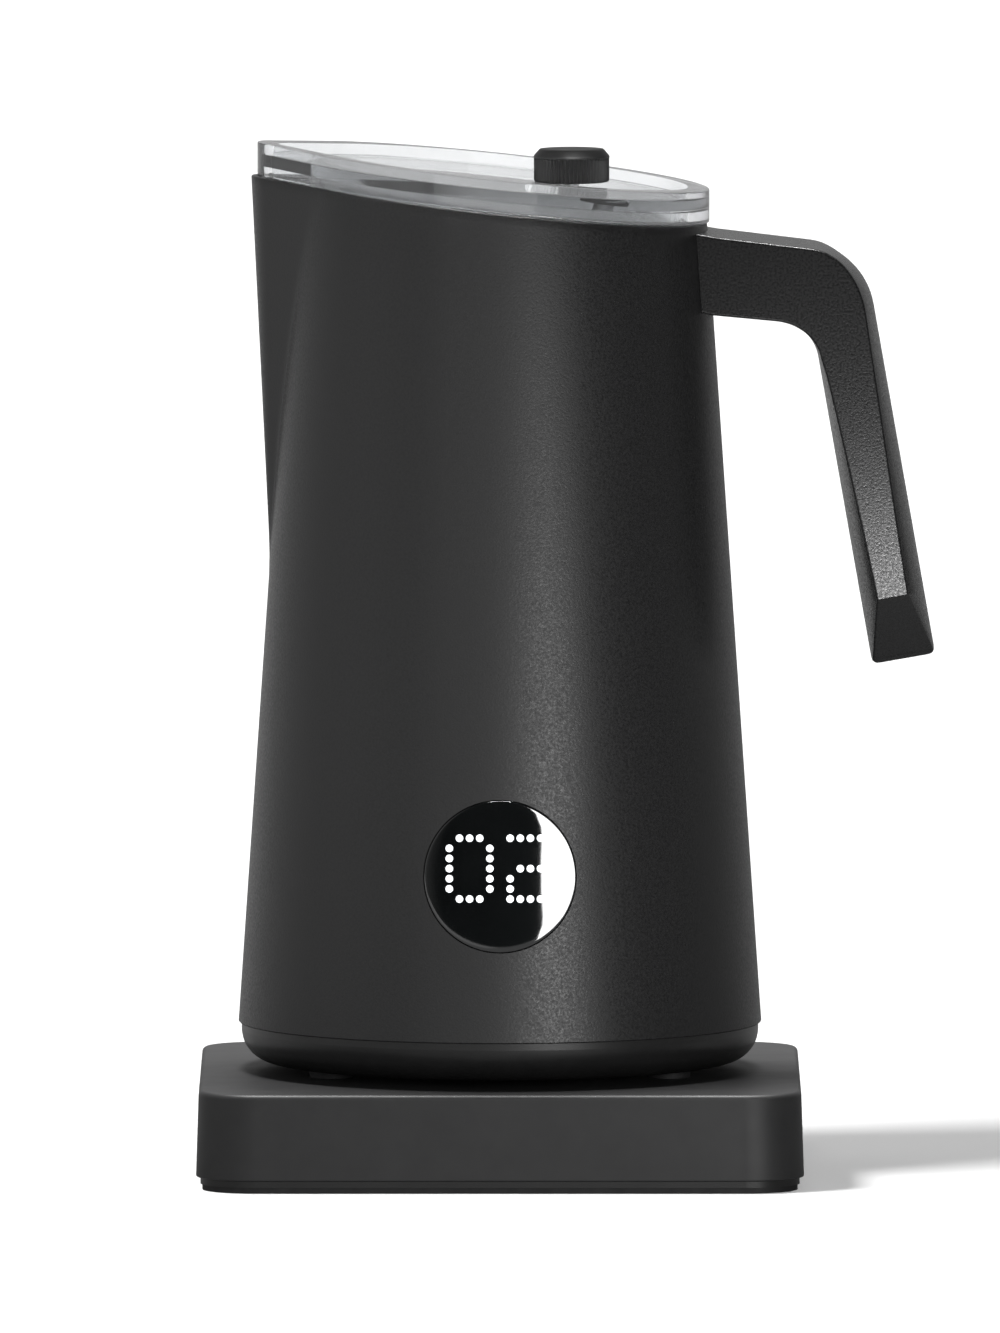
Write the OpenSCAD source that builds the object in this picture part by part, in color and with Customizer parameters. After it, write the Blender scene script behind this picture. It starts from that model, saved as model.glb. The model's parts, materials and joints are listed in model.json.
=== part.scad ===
// Milk frother: a heated jug with a magnetic whisk, standing on a square power base.
// Origin on the table under the jug's axis. +Z up, spout towards -X, handle towards +X,
// display towards -Y, cord entry towards +Y. Millimetres.

/* [Base] */
// Width of the base across its bottom edge
base_w = 126; // [120:1:140]
// How much narrower the base is at its top
base_draft = 1.1; // [0:0.1:3]
// Height of the base's top face above the table
base_h = 20.5; // [19.5:0.5:24]
// Plan radius of the base's corners
base_corner = 12; // [8:1:20]
// Bevel round the base's top edge
base_edge = 0.8; // [0.4:0.1:1.2]
// Wall thickness of the base cover
base_wall = 2.4; // [2:0.1:3]

/* [Jug] */
// Outside radius of the jug shell at its lower edge
shell_foot_r = 54.5; // [54:0.5:58]
// Radius that the shell loses per millimetre of height
shell_taper = 0.0683; // [0.06:0.001:0.075]
// Thickness of the shell's metal
shell_wall = 1.6; // [1.2:0.1:1.8]
// Height of the mouth plane on the jug's axis
mouth_z = 201.8; // [195:0.5:210]
// Tilt of the mouth plane, down towards the handle
mouth_tilt = 6; // [0:0.5:8]
// Inside radius of the steel bowl
bowl_r = 39.4; // [38.5:0.1:39.6]
// Thickness of the bowl's steel
bowl_wall = 0.8; // [0.6:0.1:1]

/* [Spout] */
// Reach of the spout's tip from the axis, 5 mm above the tip
spout_reach = 52; // [50:0.5:54]
// Plan radius of the spout's nose
spout_nose = 12; // [10:0.5:14]
// Height where the spout leaves the shell
spout_foot_z = 124; // [110:1:140]

/* [Lid] */
// Height of the lid's rim above the mouth
lid_h = 7.1; // [6:0.1:9]
// Plan radius of the lid
lid_r = 43.6; // [43:0.1:44]
// Reach of the lid's nose over the spout
lid_reach = 50.5; // [49.5:0.1:51]
// Width of the rim round the lid's sunken panel
lid_rim = 4.5; // [3:0.1:5]
// Offset of the knob from the jug's axis
knob_x = 14.9; // [0:0.1:16]
// Radius of the knob
knob_r = 7.9; // [6:0.1:9]
// Number of grip ribs round the knob
knob_ribs = 72; // [36:1:90]

/* [Display button] */
// Height of the button's centre above the table
display_z = 65; // [63:0.5:66]
// Radius of the glass button
display_r = 15.6; // [14:0.1:15.8]
// Spacing of the dots
dot_pitch = 2.1; // [1.8:0.05:2.2]
// Radius of one dot
dot_r = 0.8; // [0.5:0.05:0.9]
// How far the button travels
button_travel = 0.8; // [0.3:0.1:1]

/* [Handle] */
// Width of the handle from front to back
handle_w = 29; // [24:1:32]
// Thickness of the grip's free end from front to back
handle_tip_w = 8; // [3:1:12]
// Radius of the handle's outer corner
handle_outer_r = 15; // [10:0.5:16]
// Radius of the handle's inner corner
handle_inner_r = 10; // [6:0.5:12]

/* [Hidden] */
$fn = 96;

big = 300;            // size of a cutting block
black = [0.12, 0.12, 0.125];
charcoal = [0.2, 0.2, 0.2];
steel = [0.75, 0.75, 0.76];
copper = [0.8, 0.5, 0.25];
board_green = [0.1, 0.35, 0.2];

// Base levels
pad_h = 1.2;
rim_z = 2.6;                               // lower edge of the base cover
base_top_w = base_w - base_draft;
pocket_w = base_w - 2 * base_wall;         // inside of the base cover
roof_z = base_h - 2.2;
tower_r = 13;                              // the connector that stands on the base
tower_z = base_h + 9;
base_screw_xy = 50;
board_z = 8;
BOARD_FIXINGS = [[-42, 20], [42, 20], [-42, 50], [42, 50]];
cord_z = 10.5;
cord_r = 3.3;
gland_in = pocket_w / 2 - 2;
gland_out = base_w / 2 + 1.6;

// Jug levels
cap_z = base_h + 1.7;                      // underside of the bottom cap
shell_z = 30.4;                            // lower edge of the shell
cap_r = shell_foot_r - 0.65;
cap_corner = 6.8;
cap_wall = 2.2;
socket_r = 15.5;                           // recess in the cap that takes the tower
socket_z = 31;
connector_top = 36;
pin_z = 20;                                // lower end of the jug's contact pins
leg_r = 3.5;
leg_circle = 30;
foot_circle = 40.5;
control_z = 38;
motor_z = 44;
motor_h = 26;
motor_r = 18;
plate_z = motor_z + motor_h;               // plate that carries the motor
plate_h = 2.5;
drive_z = plate_z + 5.2;
drive_h = 4;
drive_r = 14;
bowl_z = 82.5;                             // underside of the bowl
bowl_corner = 6;
floor_z = bowl_z + bowl_wall;
whisk_z = floor_z + 0.8;
pin_r = 2;
loft_z = 212;                              // height where the spout's outline is set out

lid_foot = 0.2;                            // gap under the lid's rim
panel_top = lid_h - 2.4;
panel_h = 2.4;
skirt_r = 37.6;
skirt_wall = 2;
skirt_depth = 5;
seal_r = bowl_r - 0.35;
knob_z = 205.7;
knob_h = 6.9;
rib_depth = 0.22;
cap_from = 5;         // the knob's ribs end here, under a plain edge
chamfer_from = 5.5;

taper_angle = atan(shell_taper);
handle_screw_z = [182, 190];

function shell_r(z) = shell_foot_r - shell_taper * (z - shell_z);
function polar(r, a) = r * [cos(a), sin(a)];
function ring_of(n, r, start = 0) = [for (i = [0:n - 1]) polar(r, start + 360 * i / n)];
function square_of(d) = [[-d, -d], [d, -d], [d, d], [-d, d]];

// ---------- shared shapes ----------

module tube(r_out, r_in, z0, z1) {
    translate([0, 0, z0]) difference() {
        cylinder(r = r_out, h = z1 - z0);
        translate([0, 0, -1]) cylinder(r = r_in, h = z1 - z0 + 2);
    }
}

module disc(r, z0, z1) {
    translate([0, 0, z0]) cylinder(r = r, h = z1 - z0);
}

module at_points(points) {
    for (p = points) translate([p[0], p[1], 0]) children();
}

// A square prism with round upright corners
module rounded_block(w, r, z0, z1) {
    translate([0, 0, z0]) linear_extrude(z1 - z0) {
        square([w - 2 * r, w], center = true);
        square([w, w - 2 * r], center = true);
        at_points(square_of(w / 2 - r)) circle(r);
    }
}

// The four corner posts whose hull is a rounded square slab
module corner_posts(w, r, z, h = 0.01) {
    at_points(square_of(w / 2 - r)) translate([0, 0, z]) cylinder(r = r, h = h, $fn = 48);
}

// A round pot with a rounded lower corner
module round_pot(r, corner, z0, z1) {
    translate([0, 0, z0]) rotate_extrude() {
        square([r - corner, z1 - z0]);
        translate([0, corner]) square([r, z1 - z0 - corner]);
        intersection() {
            translate([r - corner, corner]) circle(corner);
            square([r, corner]);
        }
    }
}

// Everything below the tilted mouth plane raised by dz
module below_mouth(dz = 0) {
    translate([0, 0, mouth_z + dz]) rotate([0, mouth_tilt, 0])
        translate([-big / 2, -big / 2, -big]) cube(big);
}

// The part of its children between two planes parallel to the mouth
module mouth_slab(low, high) {
    difference() {
        intersection() {
            children();
            below_mouth(high);
        }
        below_mouth(low);
    }
}

// A circle drawn out to a round nose at -X, as the mouth is in plan
module teardrop(r, reach, nose) {
    d = reach - nose;
    c = (r - nose) / d;
    s = sqrt(1 - c * c);
    circle(r);
    translate([-d, 0]) circle(nose);
    polygon([[-r * c, r * s], [-d - nose * c, nose * s], [-d - nose * c, -nose * s], [-r * c, -r * s]]);
}

module teardrop_prism(r, reach, nose) {
    translate([0, 0, mouth_z - 40]) linear_extrude(80) teardrop(r, reach, nose);
}

// The jug's cone, with inset taken off its radius
module shell_cone(inset, z0 = shell_z, z1 = loft_z) {
    translate([0, 0, z0])
        cylinder(r1 = shell_r(z0) - inset, r2 = shell_r(z1) - inset, h = z1 - z0);
}

// The spout: from a point on the wall up to a nose, with straight sides that run into the wall
module spout(wall_r, reach, nose, foot_x, foot_z) {
    hull() {
        translate([0, 0, loft_z]) cylinder(r = wall_r - 0.15, h = 0.01);
        translate([nose - reach, 0, loft_z]) cylinder(r = nose, h = 0.01, $fn = 64);
        translate([-foot_x, 0, foot_z]) cylinder(r = 0.2, h = 0.01, $fn = 16);
    }
}

module shell_form(inset, z0 = shell_z) {
    shell_cone(inset, z0);
    spout(shell_r(loft_z) - inset, spout_reach - inset, spout_nose - inset,
          shell_r(spout_foot_z) - inset - 0.4, spout_foot_z + 4 * inset);
}

module bowl_form(inset) {
    round_pot(bowl_r + bowl_wall - inset, bowl_corner - inset, bowl_z + inset, loft_z);
    spout(bowl_r + bowl_wall - inset, spout_reach - 2.2 - inset, spout_nose - 2.2 - inset,
          bowl_r + bowl_wall - inset - 0.4, 143 + 4 * inset);
}

// Puts its children on the display's axis: local +Z points out of the shell
module at_display() {
    translate([0, -shell_r(display_z), display_z]) rotate([90 - taper_angle, 0, 0]) children();
}

module screw(head_r, head_h, shank_r, length) {
    cylinder(r = head_r, h = head_h);
    translate([0, 0, head_h]) cylinder(r = shank_r, h = length);
}

// ---------- power base ----------

module base_cover() color(charcoal) difference() {
    union() {
        difference() {
            hull() {
                corner_posts(base_w, base_corner, rim_z);
                corner_posts(base_top_w + 0.1, base_corner, base_h - base_edge);
                corner_posts(base_top_w - 2 * base_edge, base_corner - base_edge, base_h - 0.01);
            }
            rounded_block(pocket_w, base_corner - base_wall, rim_z - 1, roof_z);
        }
        at_points(square_of(base_screw_xy)) disc(3.4, 4.6, roof_z);
    }
    disc(tower_r + 0.1, roof_z - 1, base_h + 1);
    at_points(square_of(base_screw_xy)) disc(1.55, 4, 14);
    translate([-5.5, pocket_w / 2 - 1, 0]) cube([11, 5, cord_z + 5.5]);
}

module base_plate() color(black) difference() {
    union() {
        rounded_block(base_w - 1.8, base_corner - 0.9, pad_h, rim_z);
        rounded_block(pocket_w - 0.4, base_corner - base_wall - 0.2, rim_z, 4.6);
        disc(9, 4.6, board_z);
        at_points(BOARD_FIXINGS) disc(2.5, 4.6, board_z);
    }
    at_points(square_of(base_screw_xy)) {
        disc(3, 0, 3.1);
        disc(1.7, 3, 6);
    }
    at_points(BOARD_FIXINGS) disc(1.15, 4.6, board_z + 1);
    translate([-8, gland_in - 0.3, rim_z]) cube([16, 5, 3]);
}

module base_pad() color(black) rounded_block(base_w - 2.6, base_corner - 1.3, 0, pad_h);

module base_screws() color(steel) {
    at_points(square_of(base_screw_xy)) translate([0, 0, 1.4]) screw(2.7, 1.7, 1.5, 9);
    at_points(BOARD_FIXINGS) translate([0, 0, 11]) mirror([0, 0, 1]) screw(2.2, 1.4, 1.1, 4);
}

module base_connector() color(black) difference() {
    union() {
        disc(tower_r, board_z, tower_z - 1);
        translate([0, 0, tower_z - 1]) cylinder(r1 = tower_r, r2 = tower_r - 1, h = 1);
        disc(tower_r + 3, roof_z - 3, roof_z);
    }
    disc(3.2, 12, tower_z + 1);
    tube(7, 4.9, 14, tower_z + 1);
    tube(10.5, 8.4, 14, tower_z + 1);
}

module base_contacts() color(copper) {
    tube(3.2, 2.1, 12, 24);
    tube(7, 6.6, 14, 24);
    tube(10.5, 10.1, 14, 24);
}

module power_board() color(board_green) difference() {
    translate([-46, 17, board_z]) cube([92, 36, 1.6]);
    at_points(BOARD_FIXINGS) disc(1.4, board_z - 1, board_z + 3);
}

module power_board_parts() {
    color([0.85, 0.8, 0.5]) translate([-36, 24, 9.6]) cube([22, 18, 7.6]);
    color(black) translate([-6, 22, 9.6]) cube([12, 10, 5]);
    color(black) translate([-6, 40, 9.6]) cube([16, 9, 4]);
    color([0.15, 0.2, 0.5]) for (x = [20, 33])
        translate([x, 26, 13.7]) rotate([-90, 0, 0]) cylinder(r = 4, h = 14);
    color([0.9, 0.6, 0.1]) translate([14, 43, 9.6]) cube([9, 5, 7]);
}

module power_wires() {
    for (i = [-1:1]) color([[0.1, 0.2, 0.6], [0.2, 0.5, 0.2], [0.45, 0.25, 0.1]][i + 1]) {
        start = sqrt(pow(tower_r, 2) - pow(5 * i, 2)) + 0.02;
        translate([6 * i, start, 11]) rotate([-90, 0, 0]) cylinder(r = 0.9, h = 21.92 - start, $fn = 24);
    }
}

module cord_gland() color(black) translate([0, 0, cord_z]) rotate([-90, 0, 0]) difference() {
    union() {
        disc(5.4, gland_in, gland_out);
        translate([-5.4, -5.4, pocket_w / 2 - 0.2]) cube([10.8, cord_z - rim_z + 5.3, 2.5]);
        disc(7, gland_in, pocket_w / 2);
        disc(6.8, base_w / 2 + 0.1, gland_out);
    }
    disc(cord_r, gland_in - 1, gland_out + 1);
}

// ---------- jug body ----------

module jug_shell() color(charcoal) difference() {
    intersection() {
        shell_form(0);
        below_mouth(0);
    }
    difference() {
        shell_form(shell_wall, shell_z - 1);
        below_mouth(-big);
    }
    at_display() disc(display_r + 0.3, -8, 8);
    for (z = handle_screw_z) translate([0, 0, z]) rotate([0, 90, 0]) disc(1.7, 36, 50);
}

module bottom_cap() color(black) difference() {
    union() {
        difference() {
            round_pot(cap_r, cap_corner, cap_z, shell_z);
            round_pot(cap_r - cap_wall, cap_corner - cap_wall, cap_z + cap_wall, shell_z + 1);
        }
        tube(shell_r(connector_top) - shell_wall - 0.1, cap_r - cap_wall - 1.5, shell_z - 2, connector_top);
        disc(socket_r + 2, cap_z, socket_z);
        at_points(ring_of(3, leg_circle, 30)) disc(leg_r, cap_z, connector_top);
    }
    disc(socket_r, cap_z - 1, socket_z + 1);
    at_points(ring_of(3, leg_circle, 30)) {
        disc(3.1, cap_z - 1, cap_z + 4);
        disc(1.7, cap_z, connector_top + 1);
    }
}

module cap_screws() color(steel) at_points(ring_of(3, leg_circle, 30))
    translate([0, 0, cap_z + 2]) screw(2.8, 2, 1.5, 18);

module jug_feet() color(black) at_points(ring_of(3, foot_circle, 90)) {
    disc(4.5, base_h, cap_z);
}

module jug_connector() color(black) difference() {
    disc(socket_r + 2, socket_z, control_z);
    disc(1.7, socket_z - 1, connector_top);
    for (r = [6.2, 9.7]) tube(r, r - 0.8, socket_z - 1, connector_top);
}

module connector_pins() color(copper) {
    disc(1.7, pin_z, connector_top);
    for (r = [6.2, 9.7]) tube(r, r - 0.8, pin_z, connector_top);
}

module control_board() color(board_green) difference() {
    disc(40, control_z, control_z + 1.6);
    at_points(ring_of(3, leg_circle, 30)) disc(leg_r + 0.3, control_z - 1, control_z + 3);
}

module control_board_parts() {
    top = control_z + 1.6;
    color(black) translate([-33, -6, top]) cube([12, 12, 2]);
    color([0.1, 0.3, 0.6]) translate([20.5, -9, top]) cube([15, 18, 12]);
    color(black) for (x = [-6, 6]) translate([x, 29, top]) cylinder(r = 4, h = 11);
    color([0.9, 0.9, 0.85]) translate([-6, -36.5, top]) cube([12, 3, 5]);
    color([0.9, 0.9, 0.85]) translate([-8, 20, top]) cube([16, 3, 1.8]);
}

module inner_frame() color(charcoal) difference() {
    union() {
        disc(36, plate_z, plate_z + plate_h);
        at_points(ring_of(3, leg_circle, 30)) {
            disc(leg_r, connector_top, plate_z);
            disc(leg_r, plate_z, bowl_z);
        }
    }
    disc(9, plate_z - 1, plate_z + plate_h + 1);
    at_points(ring_of(2, 13, 90)) disc(1.6, plate_z - 1, plate_z + 4);
    at_points(ring_of(3, leg_circle, 30)) disc(1.55, connector_top - 1, 46);
}

module motor_can() color(steel) difference() {
    disc(motor_r, motor_z, plate_z);
    disc(motor_r - 1, motor_z + 1.5, plate_z - 1.5);
    disc(4, motor_z - 1, plate_z + 1);
    at_points(ring_of(2, 13, 90)) disc(1.2, plate_z - 2, plate_z + 1);
}

module motor_stator() color(copper) difference() {
    tube(motor_r - 1.05, 9.5, motor_z + 6, plate_z - 6);
    at_points(ring_of(6, 13.2)) disc(2.2, motor_z, plate_z);
}

module motor_bearings() color(steel) {
    tube(3.95, 1.55, motor_z, motor_z + 3);
    tube(3.95, 1.55, plate_z - 3, plate_z);
}

module motor_screws() color(steel) at_points(ring_of(2, 13, 90))
    translate([0, 0, plate_z + plate_h + 1.5]) mirror([0, 0, 1]) screw(2.2, 1.5, 1.1, 4);

module bowl() color(steel) difference() {
    union() {
        intersection() {
            bowl_form(0);
            below_mouth(-0.8);
        }
        mouth_slab(-1.6, -0.4) shell_form(shell_wall + 0.15, 150);
    }
    bowl_form(bowl_wall);
}

module bowl_pin() color(steel) {
    disc(6, floor_z, floor_z + 0.6);
    disc(pin_r, floor_z + 0.6, floor_z + 11);
    translate([0, 0, floor_z + 11]) cylinder(r1 = pin_r, r2 = pin_r - 0.8, h = 0.8);
}

module bowl_gasket() color([0.3, 0.3, 0.32]) difference() {
    mouth_slab(-4.4, -1.6) shell_form(shell_wall + 0.15, 150);
    bowl_form(-0.05);
}

module heater_ring() color([0.55, 0.5, 0.45]) tube(26, 17, bowl_z - 2, bowl_z);

module temperature_sensor() color(steel) translate([-29.5, 0, 0]) {
    disc(2.6, bowl_z - 4, bowl_z);
    disc(1.6, plate_z + plate_h, bowl_z - 4);
}

module thermal_fuse() color([0.85, 0.82, 0.75]) translate([-6, 29.5, bowl_z - 2]) rotate([0, 90, 0])
    cylinder(r = 2, h = 12);

module handle_screws() color(steel) for (z = handle_screw_z)
    translate([bowl_r + bowl_wall + 0.25, 0, z]) rotate([0, 90, 0]) screw(2.6, 1.3, 1.5, 12);

// ---------- handle ----------
// Set out in the XZ plane: the straight edges of the arm and the grip, and the corners between them

arm_top = [40, 195.7];
arm_slope = [1, -0.12];
arm_under = [40, 179.2];
under_slope = [1, -0.093];
grip_top = [78.4, 176.9];
grip_slope = [0.1765, -1];
grip_thick = 13.5;
grip_end_z = 108;
face_end_z = 121;
corner_inset = [2.4, 0.9];     // how far the front face stands in from the outer and inner edges
end_inset = [3.3, 3.3];
root_x = 38;

function crossed(a, b) = a[0] * b[1] - a[1] * b[0];
function meet(p, d, q, e) = p + d * crossed(q - p, e) / crossed(d, e);
function inward(d) = [d[1], -d[0]] / norm(d);
function along_x(p, d, x) = p + d * (x - p[0]) / d[0];
function along_z(p, d, z) = p + d * (z - p[1]) / d[1];
function grip_outer(z, inset) = along_z(grip_top, grip_slope, z) - [inset, 0];
function grip_inner(z, inset) = along_z(grip_top, grip_slope, z) - [grip_thick - inset, 0];

outer_centre = meet(arm_top + handle_outer_r * inward(arm_slope), arm_slope,
                    grip_top + handle_outer_r * inward(grip_slope), grip_slope);
inner_centre = meet(arm_under + handle_inner_r * inward(under_slope), under_slope,
                    grip_inner(160, 0) + handle_inner_r * inward(grip_slope), grip_slope);
under_end = inner_centre - handle_inner_r * inward(under_slope);
inner_end = inner_centre - handle_inner_r * inward(grip_slope);
outer_a0 = atan2(-inward(arm_slope)[1], -inward(arm_slope)[0]);
outer_a1 = atan2(-inward(grip_slope)[1], -inward(grip_slope)[0]);

module upright_slice(points, depth) {
    translate([0, depth / 2, 0]) rotate([90, 0, 0]) linear_extrude(depth) polygon(points);
}

// The corner's outline on the middle plane (k = 0) and on the front face (k = 1)
function corner_outline(k) = concat(
    [under_end, along_x(arm_top, arm_slope, under_end[0])],
    [for (i = [0:10]) let (a = outer_a0 + (outer_a1 - outer_a0) * i / 10)
        outer_centre + polar(handle_outer_r - k * corner_inset[0] * i / 10, a)],
    [grip_outer(inner_end[1], k * corner_inset[0]), grip_inner(inner_end[1], k * corner_inset[1])]
);
function grip_outline(end, k) = [
    grip_inner(inner_end[1] + 0.01, k * corner_inset[1]),
    grip_outer(inner_end[1] + 0.01, k * corner_inset[0]),
    grip_outer(end, k * end_inset[0]),
    grip_inner(end - 2.4, k * end_inset[1])
];

module handle() color(charcoal) difference() {
    union() {
        upright_slice([
            along_x(arm_under, under_slope, root_x), along_x(arm_top, arm_slope, root_x),
            along_x(arm_top, arm_slope, under_end[0] + 0.01), under_end + [0.01, 0]
        ], handle_w);
        difference() {
            hull() {
                upright_slice(corner_outline(0), handle_w / 3);
                upright_slice(corner_outline(1), handle_w);
            }
            translate([inner_centre[0], 0, inner_centre[1]]) rotate([90, 0, 0])
                cylinder(r = handle_inner_r, h = handle_w + 2, center = true);
        }
        hull() {
            upright_slice(grip_outline(grip_end_z, 0), handle_tip_w);
            upright_slice(grip_outline(face_end_z, 0), handle_w / 3);
            upright_slice(grip_outline(face_end_z, 1), handle_w);
        }
    }
    shell_cone(-0.05, 150);
    for (z = handle_screw_z) translate([0, 0, z]) rotate([0, 90, 0]) disc(1.55, root_x, 56);
}

// ---------- display button ----------

digits_up = 1.7;      // how far the digits' centre stands above the button's
ZERO = ["01110", "10001", "10001", "10001", "10001", "10001", "01110"];
TWO = ["11110", "00001", "00001", "01110", "10000", "10000", "11111"];

// Centres of the lit dots of one digit, whose first column is at u
function lit(digit, u) = [
    for (row = [0:6]) for (col = [0:4])
        if (digit[row][col] == "1") [u + col * dot_pitch, (3 - row) * dot_pitch + digits_up]
];
DOTS = concat(lit(ZERO, -5 * dot_pitch), lit(TWO, dot_pitch));

module display_lens() color(black) difference() {
    intersection() {
        at_display() disc(display_r, -8, 8);
        shell_cone(-0.5, 40, 90);
    }
    shell_cone(1.9, 39, 91);
    at_display() at_points(DOTS) disc(dot_r, -8, 8);
}

module display_dots() color("white") intersection() {
    at_display() at_points(DOTS) disc(dot_r - 0.02, -3.3, 8);
    shell_cone(-0.52, 40, 90);
}

module button_frame() color(black) {
    intersection() {
        at_display() tube(15.2, 13.2, -6.5, 2);
        shell_cone(1.9, 40, 90);
    }
    at_display() translate([0, -14.2, 0]) disc(0.9, -7.6, -6.4);
}

module display_housing() color(charcoal) difference() {
    intersection() {
        at_display() disc(17.6, -10.5, 2);
        shell_cone(shell_wall + 0.7, 30, 95);
    }
    at_display() {
        disc(display_r + 0.4, -9.3, 8);
        translate([-5, -5, -12]) cube([10, 4, 5]);
    }
}

module display_gasket() color([0.3, 0.3, 0.32]) difference() {
    intersection() {
        at_display() tube(17.6, 15.95, -8, 2);
        shell_cone(shell_wall + 0.02, 40, 90);
    }
    shell_cone(shell_wall + 0.68, 39, 91);
}

module display_board() color(board_green) at_display() {
    disc(12.6, -6.2, -5);
    at_points([[-8, 0], [8, 0]]) disc(1.4, -9.3, -6.2);
}

module display_leds() color("white") at_display() at_points(DOTS)
    translate([-0.6, -0.6, -5]) cube([1.2, 1.2, 0.5]);

module button_switch() color(black) at_display() translate([0, -13, 0]) {
    translate([-2.2, -2.1, -9.3]) cube([4.4, 3.2, 0.4]);
    translate([0, -1.2, 0]) disc(0.8, -8.9, -8.5);
}

module display_cable() color([0.85, 0.85, 0.8]) {
    translate([-4, -40.6, control_z + 6.6]) cube([8, 0.4, 17.2]);
    translate([-4, -45.8, control_z + 23.6]) cube([8, 5.4, 0.4]);
    translate([-4, -40.6, control_z + 6.6]) cube([8, 6, 0.4]);
}

// ---------- drive ----------

module motor_rotor() color(steel) {
    disc(9, motor_z + 6.5, plate_z - 6.5);
    disc(1.5, motor_z + 0.5, drive_z + 3);
}

module drive_disc() color(black) difference() {
    union() {
        disc(drive_r, drive_z, drive_z + drive_h);
        disc(4, drive_z - 1.5, drive_z);
    }
    disc(1.52, drive_z - 2, drive_z + 3);
    at_points(ring_of(4, 9)) disc(3, drive_z + 1, drive_z + drive_h + 1);
}

module drive_magnets() color(steel)
    at_points(ring_of(4, 9)) disc(2.95, drive_z + 1, drive_z + drive_h);

// ---------- whisk ----------

coil_r = 13.5;        // radius of the ring that the spring wire winds round
coil_turn_r = 2.6;    // radius of one turn
wire_r = 0.45;
coil_turns = 24;
coil_z = whisk_z + 12;
COIL_SIDES = 6;
COIL_RINGS = coil_turns * 10;

// A point on the closed spring's centreline, and its frame there
function coil_point(t) = let (a = 360 * t, b = 360 * coil_turns * t)
    concat(polar(coil_r + coil_turn_r * cos(b), a), coil_turn_r * sin(b));
function unit(v) = v / norm(v);
function coil_along(t) = unit(coil_point(t + 0.0001) - coil_point(t - 0.0001));
function coil_side(t) = let (a = 360 * t, out = coil_point(t) - coil_r * [cos(a), sin(a), 0])
    unit(out - (out * coil_along(t)) * coil_along(t));

module whisk_hub() color(black) difference() {
    union() {
        round_pot(12.5, 1.5, whisk_z, whisk_z + 4);
        disc(4.5, whisk_z + 3, whisk_z + 14);
        translate([0, 0, whisk_z + 14]) cylinder(r1 = 4.5, r2 = 3.5, h = 1);
        for (a = [0:120:240]) rotate(a) translate([3, -1, whisk_z + 10.8]) cube([8, 2, 2.4]);
    }
    disc(3, whisk_z - 1, whisk_z + 12.5);
    at_points(ring_of(4, 9)) disc(2.5, whisk_z - 1, whisk_z + 3);
}

module whisk_bush() color([0.9, 0.9, 0.88]) tube(2.95, pin_r + 0.08, whisk_z + 0.5, whisk_z + 9);

module whisk_magnets() color(steel) at_points(ring_of(4, 9)) disc(2.45, whisk_z + 0.4, whisk_z + 3);

module whisk_coil() color(steel) translate([0, 0, coil_z]) polyhedron(
    points = [
        for (i = [0:COIL_RINGS - 1]) let (t = i / COIL_RINGS, u = coil_side(t), v = cross(coil_along(t), u))
            for (j = [0:COIL_SIDES - 1]) let (q = 360 * j / COIL_SIDES)
                coil_point(t) + wire_r * (cos(q) * u + sin(q) * v)
    ],
    faces = [
        for (i = [0:COIL_RINGS - 1]) for (j = [0:COIL_SIDES - 1])
            let (a = i * COIL_SIDES, b = ((i + 1) % COIL_RINGS) * COIL_SIDES, k = (j + 1) % COIL_SIDES)
                each [[a + k, b + k, b + j], [a + k, b + j, a + j]]
    ]
);

// ---------- lid ----------

lid_nose = spout_nose;

module lid() color([0.8, 0.82, 0.84, 0.45]) difference() {
    union() {
        mouth_slab(lid_foot, lid_h) difference() {
            teardrop_prism(lid_r, lid_reach, lid_nose);
            teardrop_prism(lid_r - lid_rim, lid_reach - lid_rim, lid_nose - lid_rim);
        }
        mouth_slab(panel_top - panel_h, panel_top)
            teardrop_prism(lid_r - 1, lid_reach - 1, lid_nose - 1);
        mouth_slab(-skirt_depth, panel_top - 1) difference() {
            disc(skirt_r, mouth_z - 40, mouth_z + 40);
            disc(skirt_r - skirt_wall, mouth_z - 41, mouth_z + 41);
        }
        translate([knob_x, 0, 0]) disc(6, knob_z - 3, knob_z);
    }
    translate([knob_x, 0, 0]) {
        disc(2.1, knob_z - 20, knob_z + 8);
        disc(knob_r + 1, knob_z, knob_z + 8);
        disc(4.2, knob_z - 12, knob_z - 2.6);
    }
}

module lid_seal() color([0.3, 0.3, 0.32]) {
    mouth_slab(-skirt_depth + 0.6, -1.4) difference() {
        disc(skirt_r + 0.7, mouth_z - 40, mouth_z + 40);
        disc(skirt_r, mouth_z - 41, mouth_z + 41);
    }
    for (dz = [-skirt_depth + 0.9, -2.6]) mouth_slab(dz, dz + 0.7) difference() {
        disc(seal_r, mouth_z - 40, mouth_z + 40);
        disc(skirt_r + 0.2, mouth_z - 41, mouth_z + 41);
    }
}

module lid_knob() color(black) translate([knob_x, 0, 0]) difference() {
    union() {
        translate([0, 0, knob_z]) linear_extrude(cap_from + 0.2) polygon([
            for (i = [0:2 * knob_ribs - 1]) polar(knob_r - 0.06 - (i % 2) * rib_depth, 180 * i / knob_ribs)
        ]);
        disc(knob_r, knob_z + cap_from, knob_z + chamfer_from);
        translate([0, 0, knob_z + chamfer_from])
            cylinder(r1 = knob_r, r2 = knob_r - 1.2, h = knob_h - chamfer_from);
    }
    disc(1.55, knob_z - 1, knob_z + 5.8);
}

module knob_washer() color([0.3, 0.3, 0.32])
    translate([knob_x, 0, 0]) tube(3.6, 1.6, knob_z - 3.2, knob_z - 2.6);

module knob_screw() color(steel) translate([knob_x, 0, knob_z - 5]) screw(3.2, 1.8, 1.5, 7.5);

// ---------- the nodes ----------

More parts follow.
